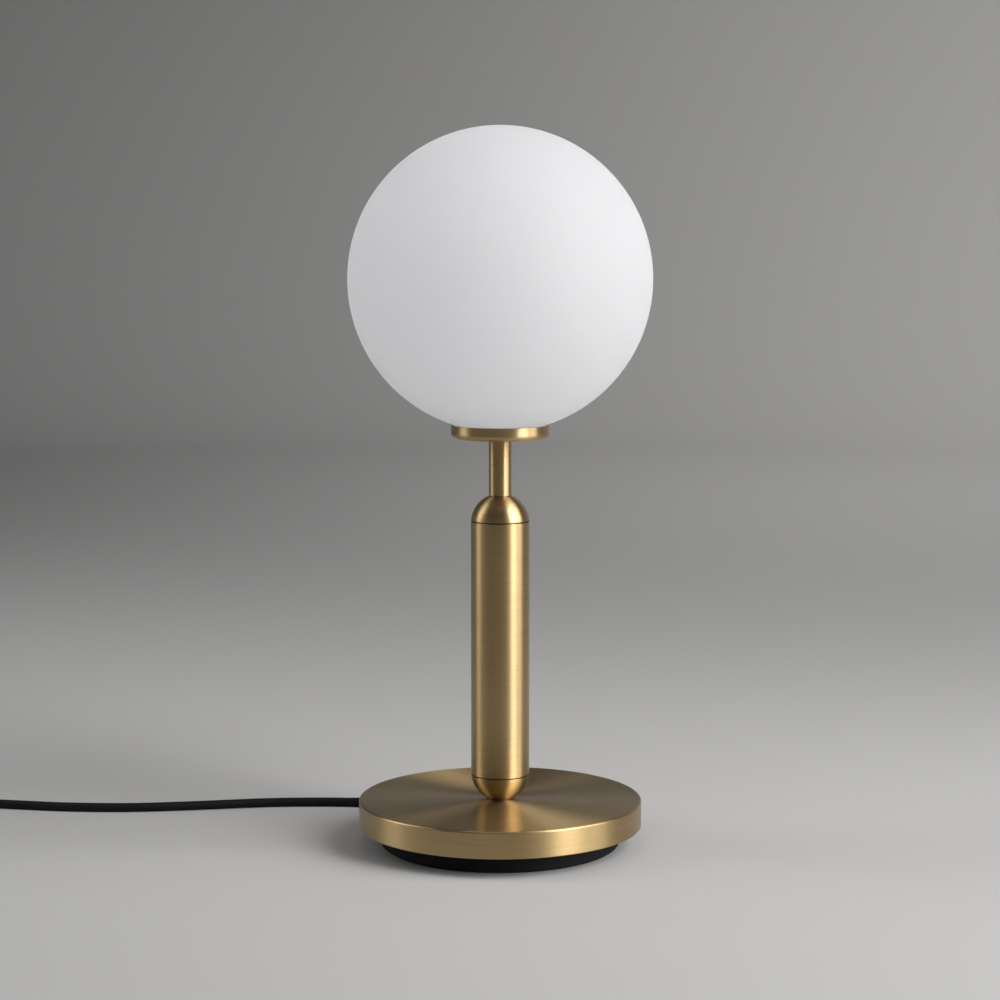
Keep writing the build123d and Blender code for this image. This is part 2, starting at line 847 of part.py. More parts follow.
with BuildPart() as bulb_envelope:
    with BuildSketch(Plane.XZ):
        with BuildLine():
            ThreePointArc(
                (envelope_edge_radius, envelope_bottom),
                (bulb_radius, bulb_centre),
                (0, bulb_centre + bulb_radius),
            )
            Line((0, bulb_centre + bulb_radius), (0, bulb_centre + bulb_inner_radius))
            ThreePointArc(
                (0, bulb_centre + bulb_inner_radius),
                (bulb_inner_radius, bulb_centre),
                (envelope_inner_edge, envelope_bottom),
            )
            Line((envelope_inner_edge, envelope_bottom), (envelope_edge_radius, envelope_bottom))
        make_face()
    revolve(axis=Axis.Z)
save(bulb_envelope, "bulb_envelope")

with BuildPart() as led_board:
    with BuildSketch(Plane.XY.offset(board_bottom)):
        Circle(board_radius)
    extrude(amount=board_thickness)
    with BuildSketch(Plane.XY.offset(envelope_bottom)):
        with PolarLocations(chip_circle, chip_count):
            Rectangle(chip_size, chip_size)
    extrude(amount=chip_height)
save(led_board, "led_board")

driver_bottom = board_bottom - driver_length
with BuildPart() as driver_board:
    with BuildSketch(Plane.XY.offset(driver_bottom)):
        Rectangle(driver_width, driver_thickness)
    extrude(amount=driver_length)
    with BuildSketch(Plane.XY.offset(board_bottom)):
        with Locations((0, driver_thickness / 2 + capacitor_radius - capacitor_sink)):
            Circle(capacitor_radius)
    extrude(amount=-capacitor_length)
save(driver_board, "driver_board")

# ---- Lead inside the base: strain relief, sheath, clamp and the two wires ----

with BuildPart() as cord_relief:
    with BuildSketch(upright((0, 0, exit_height), exit_direction)):
        rib_pitch = relief_length / (2 * relief_rib_count + 1)
        slope = (relief_root_radius - relief_tip_radius) / relief_length
        with BuildLine():
            outline = [
                (relief_tip, cord_radius + thread_gap),
                (flange_inner, cord_radius + thread_gap),
                (flange_inner, relief_flange_radius),
                (flange_inner + relief_flange_length, relief_flange_radius),
                (flange_inner + relief_flange_length, relief_neck_radius),
                (plinth_radius + slip_gap, relief_neck_radius),
                (plinth_radius + slip_gap, relief_root_radius),
            ]
            for rib in range(relief_rib_count):
                start = (2 * rib + 1) * rib_pitch
                end = start + rib_pitch
                for place, dip in ((start, 0), (start, 1), (end, 1), (end, 0)):
                    radius = relief_root_radius - slope * place
                    depth = min(relief_rib_depth, (radius - cord_radius) / 2)
                    outline.append((plinth_radius + place, radius - dip * depth))
            outline.append((relief_tip, relief_tip_radius))
            Polyline(*outline, close=True)
        make_face()
    revolve(axis=Axis(origin=(0, 0, exit_height), direction=exit_direction))
save(cord_relief, "cord_relief")

with BuildPart() as cord_sheath:
    with BuildSketch(exit_frame.offset(sheath_end)):
        Circle(cord_radius)
    extrude(amount=relief_tip - sheath_end)
save(cord_sheath, "cord_sheath")

clamp_bottom = clamp_post_top
clamp_top = exit_height + cord_radius + clamp_arch
with BuildPart() as cord_clamp:
    with BuildSketch(exit_frame.offset(clamp_distance - clamp_length / 2)):
        with Locations((0, clamp_bottom - exit_height)):
            Rectangle(clamp_width, clamp_foot, align=(Align.CENTER, Align.MIN))
            Rectangle(
                2 * (cord_radius + clamp_arch),
                clamp_top - clamp_bottom,
                align=(Align.CENTER, Align.MIN),
            )
        Circle(cord_radius + thread_gap, mode=Mode.SUBTRACT)
        Rectangle(
            2 * (cord_radius + thread_gap),
            exit_height - plinth_bottom,
            align=(Align.CENTER, Align.MAX),
            mode=Mode.SUBTRACT,
        )
    extrude(amount=clamp_length)
    with BuildSketch(inside_frame.offset(clamp_bottom)):
        with Locations(*clamp_posts):
            Circle(clamp_screw_radius + slip_gap)
    extrude(amount=clamp_foot, mode=Mode.SUBTRACT)
save(cord_clamp, "cord_clamp")

with BuildPart() as clamp_screws:
    with BuildSketch(inside_frame.offset(clamp_bottom + clamp_foot)):
        with Locations(*clamp_posts):
            Circle(clamp_head_radius)
    extrude(amount=clamp_head_height)
    with BuildSketch(inside_frame.offset(clamp_bottom + clamp_foot)):
        with Locations(*clamp_posts):
            Circle(clamp_screw_radius)
    extrude(amount=-clamp_screw_length)
save(clamp_screws, "clamp_screws")

for name, side in (("wire_line", 1), ("wire_neutral", -1)):
    inner = side * wire_offset
    outer = side * terminal_offset
    wire_points = [
        inside_frame.from_local_coords(point)
        for point in (
            (sheath_end, inner, exit_height),
            (0, inner, exit_height),
            (0, inner, rod_top + wire_corner),
            (0, outer, terminal_bottom - wire_corner),
            (0, outer, terminal_bottom + wire_in_terminal - slip_gap),
        )
    ]
    with BuildPart() as wire:
        with BuildLine() as route:
            FilletPolyline(*wire_points, radius=[wire_bend_radius, wire_top_radius, wire_top_radius])
        path = route.wires()[0]
        with BuildSketch(Plane(origin=path @ 0, z_dir=path % 0)):
            Circle(wire_radius)
        sweep(path=path)
    save(wire, name)

# ---- Inline switch: two half shells, rocker on its pin, contact bridge and terminals ----

switch_direction = Vector(1, 0, 0).rotate(Axis.Z, switch_heading)
switch_side = switch_direction.rotate(Axis.Z, 90)
switch_centre = Vector(*switch_entry, 0) + switch_direction * (switch_length / 2)
switch_frame = Plane(origin=switch_centre, x_dir=switch_direction, z_dir=(0, 0, 1))
end_frame = Plane(
    origin=switch_centre + Vector(0, 0, switch_split), x_dir=switch_side, z_dir=switch_direction
)
pivot_height = switch_height - rocker_depth
cavity_top = switch_height - switch_wall
switch_bosses = [(0, switch_screw_offset), (0, -switch_screw_offset)]
pin_length_in_cover = window_width + 2 * (ear_gap + ear_thickness) - 2 * slip_gap


def boat_outline(inset):
    """The switch's outline seen from above, drawn in by a wall: a long hull with flat ends."""
    nose_place = switch_length / 2 - switch_nose_radius + switch_nose_cut
    with Locations((-nose_place, 0), (nose_place, 0)):
        Circle(switch_nose_radius - inset)
    belly_place = nose_place - switch_taper
    with Locations((-belly_place, 0), (belly_place, 0)):
        Circle(switch_width / 2 - inset)
    make_hull()
    Rectangle(switch_length - 2 * inset, switch_width, mode=Mode.INTERSECT)


with BuildPart() as switch_base:
    with BuildSketch(switch_frame):
        boat_outline(0)
    extrude(amount=switch_split)
    fillet(switch_base.edges().group_by(Axis.Z)[0], switch_foot_edge)
    with BuildSketch(switch_frame.offset(switch_wall)):
        boat_outline(switch_wall)
    extrude(amount=switch_split - switch_wall, mode=Mode.SUBTRACT)
    with BuildSketch(end_frame):
        Circle(core_hole_radius)
    extrude(amount=switch_length, both=True, mode=Mode.SUBTRACT)
    with BuildSketch(switch_frame.offset(switch_wall)):
        with Locations(*switch_bosses):
            Circle(switch_boss_radius)
    extrude(amount=switch_split - switch_wall)
    with BuildSketch(switch_frame.offset(switch_wall)):
        Rectangle(fulcrum_length, bridge_width)
    extrude(amount=switch_split - switch_wall - bridge_thickness)
    with Locations(-switch_frame):
        with Locations(*switch_bosses):
            CounterSinkHole(
                switch_screw_radius + slip_gap,
                switch_screw_head + slip_gap,
                depth=switch_split,
                counter_sink_angle=90,
            )
save(switch_base, "switch_base")

with BuildPart() as switch_cover:
    with BuildSketch(switch_frame.offset(switch_split)):
        boat_outline(0)
    extrude(amount=switch_height - switch_split)
    fillet(switch_cover.edges().group_by(Axis.Z)[-1], switch_top_edge)
    with BuildSketch(switch_frame.offset(switch_split)):
        boat_outline(switch_wall)
    extrude(amount=cavity_top - switch_split, mode=Mode.SUBTRACT)
    with BuildSketch(end_frame):
        Circle(core_hole_radius)
    extrude(amount=switch_length, both=True, mode=Mode.SUBTRACT)
    ear_place = window_width / 2 + ear_gap + ear_thickness / 2
    with BuildSketch(switch_frame.offset(cavity_top)):
        with Locations((0, ear_place), (0, -ear_place)):
            Rectangle(ear_length, ear_thickness)
    extrude(amount=-(cavity_top - pivot_height + ear_drop))
    with BuildSketch(switch_frame.offset(cavity_top)):
        with Locations(*switch_bosses):
            Circle(switch_boss_radius)
    extrude(amount=switch_split - cavity_top)
    with BuildSketch(switch_frame.offset(switch_height)):
        Rectangle(window_length, window_width)
    extrude(amount=-switch_wall, mode=Mode.SUBTRACT)
    with BuildSketch(switch_frame.offset(switch_split)):
        with Locations(*switch_bosses):
            Circle(switch_screw_radius + thread_gap)
    extrude(amount=switch_screw_length - switch_split + slip_gap, mode=Mode.SUBTRACT)
    with BuildSketch(
        Plane(
            origin=switch_centre + Vector(0, 0, pivot_height),
            x_dir=switch_direction,
            z_dir=switch_side,
        )
    ):
        Circle(pin_radius + pin_gap)
    extrude(amount=pin_length_in_cover / 2 + slip_gap, both=True, mode=Mode.SUBTRACT)
save(switch_cover, "switch_cover")

with BuildPart(switch_frame) as switch_screws:
    with Locations(*switch_bosses):
        Cone(
            switch_screw_head,
            switch_screw_radius,
            switch_screw_head - switch_screw_radius,
            align=screw_seat,
        )
        Cylinder(switch_screw_radius, switch_screw_length, align=screw_seat)
save(switch_screws, "switch_screws")

pivot = switch_centre + Vector(0, 0, pivot_height)
tilted = switch_direction.rotate(Axis((0, 0, 0), tuple(switch_side)), -rocker_tilt)
with BuildPart() as switch_rocker:
    with BuildSketch(Plane(origin=pivot, x_dir=tilted, z_dir=-switch_side)) as rocker_outline:
        with BuildLine():
            Polyline(
                (-rocker_half_length, rocker_skirt),
                (-rocker_half_length, rocker_rise),
                (0, rocker_dip),
                (rocker_half_length, rocker_rise),
                (rocker_half_length, rocker_skirt),
                (rocker_hub, -rocker_hub_drop),
                (rocker_finger, -rocker_hub_drop),
                (rocker_finger, -rocker_finger_drop),
                (-rocker_finger, -rocker_finger_drop),
                (-rocker_finger, -rocker_hub_drop),
                (-rocker_hub, -rocker_hub_drop),
                close=True,
            )
        make_face()
        Circle(pin_radius + pin_gap, mode=Mode.SUBTRACT)
    extrude(amount=rocker_width / 2, both=True)
save(switch_rocker, "switch_rocker")

with BuildPart() as rocker_pin:
    with BuildSketch(Plane(origin=pivot, x_dir=switch_direction, z_dir=switch_side)):
        Circle(pin_radius)
    extrude(amount=pin_length_in_cover / 2, both=True)
save(rocker_pin, "rocker_pin")

switch_terminal_places = [(switch_terminal_offset, 0), (-switch_terminal_offset, 0)]
with BuildPart() as switch_terminals:
    with BuildSketch(switch_frame.offset(switch_wall)):
        with Locations(*switch_terminal_places):
            Rectangle(terminal_length, terminal_width)
    extrude(amount=switch_split - bridge_thickness - switch_wall)
save(switch_terminals, "switch_terminals")

with BuildPart() as contact_bridge:
    with BuildSketch(switch_frame.offset(switch_split - bridge_thickness)):
        Rectangle(bridge_length, bridge_width)
    extrude(amount=bridge_thickness)
save(contact_bridge, "contact_bridge")

# ---- Lead outside the base ----

up = Vector(0, 0, 1)
lead_exit = exit_direction * relief_tip + up * exit_height
switch_in = Vector(*switch_entry, switch_split)
switch_out = switch_in + switch_direction * switch_length
lead_route = [
    lead_exit,
    lead_exit + exit_direction * lead_start_run,
    *[Vector(*point) for point in lead_points],
    switch_in - switch_direction * end_run,
    switch_in,
]
lead_length = cord_run(lead_route, "cord_lead")

coil_outer_radius = coil_inner_radius + coil_pitch * coil_turns_in
coil_low = tie_thickness + tie_gap + cord_radius
coil_high = coil_low + coil_layer_step
coil_centre = Vector(coil_start[0] - cord_diameter, coil_start[1] - coil_outer_radius, 0)
coil_entry = Vector(*coil_start, coil_low)
west = Vector(-1, 0, 0)
climb_turns = 0.5
coil_turns = coil_turns_in + climb_turns + coil_turns_out


def on_coil(turn):
    """Place and heading after so many turns: in on the floor, up in half a turn, out on top."""
    if turn <= coil_turns_in:
        radius, step, height = coil_outer_radius - coil_pitch * turn, -coil_pitch, coil_low
    else:
        out = turn - coil_turns_in - climb_turns
        radius, step, height = coil_inner_radius + coil_pitch * out, coil_pitch, coil_high
    outward = Vector(1, 0, 0).rotate(Axis.Z, 90 + 360 * turn)
    along = outward.rotate(Axis.Z, 90)
    if turn in (0, coil_turns):
        step = 0
    heading = (outward * step + along * (2 * math.pi * radius)).normalized()
    return coil_centre + outward * radius + up * height, heading


def biarc(start, start_heading, end, end_heading):
    """Two arcs that leave the start and reach the end at the given headings."""
    across = end - start
    both = start_heading + end_heading
    spread = 2 * (1 - start_heading.dot(end_heading))
    reach = across.dot(both)
    arm = (math.sqrt(reach**2 + spread * across.dot(across)) - reach) / spread
    first = start + start_heading * arm
    last = end - end_heading * arm
    middle = (first + last) * 0.5
    TangentArc(start, middle, tangent=start_heading)
    TangentArc(middle, end, tangent=(last - first).normalized())


with BuildPart() as cord_coil:
    with BuildLine() as route:
        stops = [0.5 * half for half in range(int(2 * coil_turns) + 1)]
        if stops[-1] < coil_turns:
            stops.append(coil_turns)
        place, heading = on_coil(0)
        Line(coil_entry, place)
        for stop in stops[1:]:
            next_place, next_heading = on_coil(stop)
            biarc(place, heading, next_place, next_heading)
            place, heading = next_place, next_heading
        coil_exit = place + heading * cord_diameter
        Line(place, coil_exit)
    path = route.wires()[0]
    with BuildSketch(Plane(origin=path @ 0, z_dir=path % 0)):
        Circle(cord_radius)
    sweep(path=path)
save(cord_coil, "cord_coil")
coil_length = path.length
coil_share = cord_coil.part.volume / (math.pi * cord_radius**2 * coil_length)

sample_step = 2.0
sample_count = int(coil_length / sample_step)
samples = [path @ (step / sample_count) for step in range(sample_count + 1)]
apart = int(3 * cord_diameter / sample_step)
least_gap = min(
    (samples[i] - samples[j]).length
    for i in range(len(samples))
    for j in range(i + apart, len(samples))
) - cord_diameter
print("coil length", round(coil_length, 1), "volume share", round(coil_share, 4))
print("coil least gap to itself", round(least_gap, 2))

mid_route = [
    switch_out,
    switch_out + switch_direction * end_run,
    coil_entry - west * end_run,
    coil_entry,
]
mid_length = cord_run(mid_route, "cord_mid")

plug_direction = Vector(1, 0, 0).rotate(Axis.Z, plug_heading)
plug_in = Vector(*plug_entry, plug_thickness / 2)
tail_route = [
    coil_exit,
    coil_exit + heading * end_run,
    *[Vector(*point) for point in tail_points],
    plug_in - plug_direction * end_run,
    plug_in,
]
tail_length = cord_run(tail_route, "cord_tail")
print("whole lead", round(lead_length + switch_length + mid_length + coil_length + tail_length))

# The tie goes round both layers on the coil's side that faces the lamp
tie_inner = coil_inner_radius + coil_pitch * 0.25 - cord_radius - tie_gap - tie_bulge
tie_outer = coil_outer_radius - coil_pitch * 0.75 + cord_radius + tie_gap
tie_top = coil_high + cord_radius + tie_gap
with BuildPart() as coil_tie:
    with BuildSketch(Plane.XZ.offset(-coil_centre.Y)):
        with Locations((coil_centre.X + (tie_inner + tie_outer) / 2, (tie_thickness + tie_top) / 2)):
            wide = tie_outer - tie_inner
            tall = tie_top - tie_thickness
            RectangleRounded(
                wide + 2 * tie_thickness, tall + 2 * tie_thickness, cord_radius + tie_thickness
            )
            RectangleRounded(wide, tall, cord_radius, mode=Mode.SUBTRACT)
    extrude(amount=tie_width / 2, both=True)
save(coil_tie, "coil_tie")

# ---- Plug ----

plug_axis = Axis(origin=plug_in, direction=plug_direction)
plug_frame = Plane(origin=Vector(*plug_entry, 0), x_dir=plug_direction, z_dir=(0, 0, 1))
with BuildPart() as plug_relief:
    with BuildSketch(upright(plug_in, plug_direction)):
        rib_pitch = plug_relief_length / (2 * relief_rib_count + 1)
        slope = (plug_relief_root - plug_relief_tip) / plug_relief_length
        with BuildLine():
            outline = [(plug_relief_length, 0), (0, 0), (0, plug_relief_tip)]
            for rib in range(relief_rib_count):
                start = (2 * rib + 1) * rib_pitch
                end = start + rib_pitch
                for place, dip in ((start, 0), (start, 1), (end, 1), (end, 0)):
                    radius = plug_relief_tip + slope * place
                    outline.append((place, radius - dip * relief_rib_depth))
            outline.append((plug_relief_length, plug_relief_root))
            Polyline(*outline, close=True)
        make_face()
    revolve(axis=plug_axis)
save(plug_relief, "plug_relief")

plug_back = plug_relief_length
plug_face = plug_back + plug_length
with BuildPart() as plug_body:
    with BuildSketch(plug_frame) as plug_outline:
        with BuildLine():
            Polyline(
                (plug_back, -plug_nose_half_width),
                (plug_back + plug_waist, -plug_waist_half_width),
                (plug_back + plug_shoulder, -plug_width / 2),
                (plug_face, -plug_width / 2),
                (plug_face, plug_width / 2),
                (plug_back + plug_shoulder, plug_width / 2),
                (plug_back + plug_waist, plug_waist_half_width),
                (plug_back, plug_nose_half_width),
                close=True,
            )
        make_face()
        fillet(plug_outline.vertices().sort_by(Axis.X)[2:], plug_corner)
    extrude(amount=plug_thickness)
    flats = plug_body.edges().group_by(Axis.Z)
    fillet(flats[0] + flats[-1], plug_edge)
    with BuildSketch(
        Plane(origin=plug_in + plug_direction * plug_face, x_dir=plug_frame.y_dir, z_dir=plug_direction)
    ):
        with Locations((pin_spacing / 2, 0), (-pin_spacing / 2, 0)):
            Circle(contact_pin_radius + thread_gap)
    extrude(amount=-pin_depth, mode=Mode.SUBTRACT)
save(plug_body, "plug_body")

with BuildPart() as plug_pins:
    pin_frame = Plane(origin=plug_in, x_dir=plug_frame.y_dir, z_dir=plug_direction)
    pin_places = [(pin_spacing / 2, 0), (-pin_spacing / 2, 0)]
    with BuildSketch(pin_frame.offset(plug_face)):
        with Locations(*pin_places):
            Circle(contact_pin_radius)
    extrude(amount=-pin_depth + slip_gap)
    with BuildSketch(pin_frame.offset(plug_face)):
        with Locations(*pin_places):
            Circle(contact_pin_radius - sleeve_wall - thread_gap)
    extrude(amount=sleeve_length)
    with BuildSketch(pin_frame.offset(plug_face + sleeve_length)):
        with Locations(*pin_places):
            Circle(contact_pin_radius)
    extrude(amount=pin_length - sleeve_length)
    tips = plug_pins.edges().filter_by(GeomType.CIRCLE).group_by(Axis(plug_in, plug_direction))[-1]
    fillet(tips, pin_tip_edge)
save(plug_pins, "plug_pins")

with BuildPart() as pin_sleeves:
    with BuildSketch(pin_frame.offset(plug_face)):
        with Locations(*pin_places):
            Circle(contact_pin_radius)
            Circle(contact_pin_radius - sleeve_wall, mode=Mode.SUBTRACT)
    extrude(amount=sleeve_length)
save(pin_sleeves, "pin_sleeves")
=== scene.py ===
import math

import bmesh
import bpy
import numpy as np
from mathutils import Euler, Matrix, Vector


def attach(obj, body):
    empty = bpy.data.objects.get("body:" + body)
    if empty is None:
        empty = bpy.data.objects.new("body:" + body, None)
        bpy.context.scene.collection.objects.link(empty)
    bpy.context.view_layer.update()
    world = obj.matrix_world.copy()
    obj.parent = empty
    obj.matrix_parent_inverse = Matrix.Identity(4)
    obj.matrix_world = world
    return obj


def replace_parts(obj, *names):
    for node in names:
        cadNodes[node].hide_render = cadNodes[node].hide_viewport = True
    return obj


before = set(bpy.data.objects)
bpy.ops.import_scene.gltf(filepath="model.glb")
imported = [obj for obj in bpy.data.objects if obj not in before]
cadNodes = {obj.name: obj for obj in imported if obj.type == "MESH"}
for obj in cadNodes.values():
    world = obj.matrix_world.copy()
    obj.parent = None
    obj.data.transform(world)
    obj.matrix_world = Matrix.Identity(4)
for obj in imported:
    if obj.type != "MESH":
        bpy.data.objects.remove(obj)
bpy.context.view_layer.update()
print("frame loaded:", len(cadNodes), "nodes")

mm = 0.001


# Camera

camera = {
    "lens": 88.96,
    "sensor": 36.0,
    "place": (-0.0001, -1.46115, 0.3754),
    "tilt": 83.49,  # degrees up from looking straight down
}
cameraData = bpy.data.cameras.new("camera")
cameraData.lens = camera["lens"]
cameraData.sensor_width = camera["sensor"]
cameraObject = bpy.data.objects.new("camera", cameraData)
cameraObject.location = camera["place"]
cameraObject.rotation_euler = Euler((math.radians(camera["tilt"]), 0, 0))
bpy.context.scene.collection.objects.link(cameraObject)
bpy.context.scene.camera = cameraObject
print("camera placed")


# Mains lead: one cord to the switch, a second one through the coil to the plug. The points and
# the coil's sizes are in millimetres, the two lengths in metres.

lead = {
    "diameter": 5.6 * mm,
    "samplesPerPoint": 8,
    "bevelSteps": 5,
    # straight out of the strain relief, down to the floor and along it to the switch
    "toSwitch": [
        (-61.386, 73.157, 6.5),
        (-71.03, 84.65, 6.5),
        (-87.5, 92.6, 2.8),
        (-113.0, 94.5, 2.8),
        (-150.0, 92.9, 2.8),
        (-193.0, 84.2, 2.8),
        (-237.0, 78.0, 2.8),
        (-279.0, 80.4, 2.8),
        (-308.0, 86.4, 2.8),
        (-327.0, 89.8, 2.8),
        (-345.04, 91.88, 6.5),
        (-361.0, 93.0, 6.5),
    ],
    "toCoil": [
        (-420.854, 97.185, 6.5),
        (-436.815, 98.301, 6.5),
        (-451.0, 97.0, 3.7),
        (-467.0, 97.0, 3.7),
    ],
    "toPlug": [
        (-514.325, 48.1, 9.9),
        (-514.325, 32.1, 9.9),
        (-511.5, 17.0, 2.8),
        (-506.0, -3.0, 2.8),
        (-494.856, -19.5, 6.85),
        (-481.0, -27.5, 6.85),
    ],
    "lengthToSwitch": 0.309,
    "lengthToPlug": 1.433,
}
coil = {
    "centre": (-472.6, 53.7),
    "outerRadius": 43.3,
    "innerRadius": 24.4,
    "pitch": 6.3,  # from one turn to the one beside it
    "lower": 3.7,
    "upper": 9.9,
    "turnsIn": 3.0,
    "turnsUp": 0.5,
    "turnsOut": 2.75,
    "pointsPerTurn": 24,
}


def coilPoints():
    # a flat spiral in, half a turn up, a flat spiral out: angle = 90 deg + 360 deg * turn,
    # radius = outer - pitch * turn, then inner, then inner + pitch * (turn - turn of the climb)
    c = coil
    turns = c["turnsIn"] + c["turnsUp"] + c["turnsOut"]
    turn = (np.arange(round(turns * c["pointsPerTurn"])) + 0.5) / c["pointsPerTurn"]
    climbed = c["turnsIn"] + c["turnsUp"]
    radius = np.where(
        turn < c["turnsIn"],
        c["outerRadius"] - c["pitch"] * turn,
        c["innerRadius"] + c["pitch"] * np.maximum(turn - climbed, 0),
    )
    # a control point stands outside the turn that it shapes
    radius = radius / math.cos(math.pi / c["pointsPerTurn"])
    rise = np.clip((turn - c["turnsIn"]) / c["turnsUp"], 0, 1)
    angle = math.radians(90) + 2 * math.pi * turn
    height = c["lower"] + (c["upper"] - c["lower"]) * rise
    x = c["centre"][0] + radius * np.cos(angle)
    y = c["centre"][1] + radius * np.sin(angle)
    return np.stack([x, y, height], 1).tolist()


def makeCord(name, route, material):
    # a NURBS spline whose control points are the route's points, with a round bevel
    curve = bpy.data.curves.new(name, "CURVE")
    curve.dimensions = "3D"
    curve.resolution_u = lead["samplesPerPoint"]
    curve.bevel_depth = lead["diameter"] / 2
    curve.bevel_resolution = lead["bevelSteps"]
    curve.use_fill_caps = True
    spline = curve.splines.new("NURBS")
    spline.points.add(len(route) - 1)
    points = np.ones((len(route), 4))
    points[:, :3] = np.array(route) * mm
    spline.points.foreach_set("co", points.ravel())
    spline.order_u = 3
    spline.use_endpoint_u = True
    curve.materials.append(material)
    cord = bpy.data.objects.new(name, curve)
    bpy.context.scene.collection.objects.link(cord)
    return cord


# Materials


def toLinear(hexColour):
    # sRGB hex to linear: c / 12.92 up to 0.04045, ((c + 0.055) / 1.055) ^ 2.4 above it
    channels = np.array([int(hexColour[i : i + 2], 16) for i in (1, 3, 5)]) / 255
    linear = np.where(channels <= 0.04045, channels / 12.92, ((channels + 0.055) / 1.055) ** 2.4)
    return (*linear.tolist(), 1.0)


def addNode(tree, kind, sockets=None, ramp=None, **settings):
    # adds a node, sets it, and fills its input sockets or links them to a socket or a node
    node = tree.nodes.new("ShaderNode" + kind)
    for setting, value in settings.items():
        setattr(node, setting, value)
    for element, (place, colour) in zip(node.color_ramp.elements if ramp else (), ramp or ()):
        element.position, element.color = place, toLinear(colour)
    for socket, value in (sockets or {}).items():
        if isinstance(value, bpy.types.Node):
            value = value.outputs[0]
        if isinstance(value, bpy.types.NodeSocket):
            tree.links.new(value, node.inputs[socket])
        else:
            node.inputs[socket].default_value = value
    return node


def newMaterial(name):
    material = bpy.data.materials.new(name)
    material.use_nodes = True
    tree = material.node_tree
    tree.nodes.clear()
    return material, tree, addNode(tree, "TexCoord").outputs["Object"]


# Noise stays near its middle, so these spans of it carry the whole range of a look.
colourSpan = (0.35, 0.65)
grainSpan = (0.3, 0.7)

# Solid and spun brass, brushed round the lamp's axis, under a clear satin lacquer.
# Each light is drawn out across the brushing, into tall soft bands and a sweep on the flat faces.
brass = {
    "light": "#baa278",
    "deep": "#b09669",
    "lineSpacing": 0.6 * mm,  # real lines are near 0.1 mm apart, drawn coarser so that they show
    "lineDepth": 0.0015 * mm,
    "cloud": 60 * mm,
    "toneSpan": (0.38, 0.62),  # of the mean of two noises, which strays less than one
    "roughness": (0.35, 0.4),
    "anisotropy": 0.85,
    "acrossLines": 0.25,  # of a turn, from along the brushing to across it
    "lacquer": 0.1,
    "lacquerRoughness": 0.3,
}
# Painted shade for the seam grooves: brass made brown and dull, without lacquer, so that each seam
# reads as a dark line.
grooveShade = {**brass, "light": "#5a4730", "deep": "#403120", "roughness": (0.5, 0.6), "lacquer": 0.0}


def makeBrass(name, look):
    material, tree, place = newMaterial(name)
    axes = addNode(tree, "SeparateXYZ", {0: place})
    flat = addNode(tree, "CombineXYZ", {0: axes.outputs[0], 1: axes.outputs[1]})
    radius = addNode(tree, "VectorMath", {0: flat}, operation="LENGTH").outputs["Value"]
    around = addNode(tree, "VectorMath", {0: flat}, operation="NORMALIZE")
    # lines keep to one height on an upright wall and to one radius on a flat face
    density = 1 / look["lineSpacing"]
    height = addNode(tree, "Math", {0: axes.outputs[2], 1: density}, operation="MULTIPLY")
    rise = addNode(tree, "CombineXYZ", {2: height})
    outward = addNode(tree, "Math", {0: radius, 1: density}, operation="MULTIPLY")
    line = addNode(tree, "VectorMath", {0: around, 1: rise}, operation="ADD")
    sockets = {"Vector": line, "W": outward, "Scale": 1.0, "Detail": 3.0, "Roughness": 0.6}
    lines = addNode(tree, "TexNoise", sockets, noise_dimensions="4D")
    cloud = addNode(tree, "TexNoise", {"Vector": place, "Scale": 1 / look["cloud"], "Detail": 3.0})
    tone = addNode(tree, "Math", {0: lines, 1: cloud, 2: 0.0}, operation="ADD")
    tone = addNode(tree, "Math", {0: tone, 1: 0.5}, operation="MULTIPLY")
    fromTone, toTone = look["toneSpan"]
    low, high = look["roughness"]
    colours = ((fromTone, look["light"]), (toTone, look["deep"]))
    span = {0: tone, 1: fromTone, 2: toTone, 3: low, 4: high}
    shader = addNode(
        tree,
        "BsdfPrincipled",
        {
            "Base Color": addNode(tree, "ValToRGB", {0: tone}, colours),
            "Metallic": 1.0,
            "Roughness": addNode(tree, "MapRange", span),
            "Anisotropic": look["anisotropy"],
            "Anisotropic Rotation": look["acrossLines"],
            "Tangent": addNode(tree, "Tangent", direction_type="RADIAL", axis="Z"),
            "Normal": addNode(tree, "Bump", {"Height": lines, "Distance": look["lineDepth"]}),
            "Coat Weight": look["lacquer"],
            "Coat Roughness": look["lacquerRoughness"],
        },
    )
    addNode(tree, "OutputMaterial", {0: shader})
    return material


# Opal: some light comes back out near where it went in, and a share goes through the wall and
# fills the hollow, so the side away from the lights still glows and shadows on it are soft.
# opal_glass is blown soda-lime glass, flashed with opal and acid-etched to a silky matt.
# bulb_glass is a moulded opal polycarbonate cover, a little glossier and less see-through.
opals = {
    "opal_glass": {
        "name": "etchedOpalGlass",
        "milk": "#fafafb",
        "shade": "#f6f6f7",
        "cloud": 45 * mm,
        "depth": 2 * mm,
        "translucence": 0.9,
        "etch": 0.8 * mm,
        "etchDepth": 0.004 * mm,
        "roughness": (0.42, 0.5),
        "ior": 1.52,
    },
    "bulb_glass": {
        "name": "opalPolycarbonate",
        "milk": "#f8f6f0",
        "shade": "#f1eee6",
        "cloud": 15 * mm,
        "depth": 2 * mm,
        "translucence": 0.2,
        "etch": 0.5 * mm,
        "etchDepth": 0.002 * mm,
        "roughness": (0.24, 0.32),
        "ior": 1.58,
    },
}


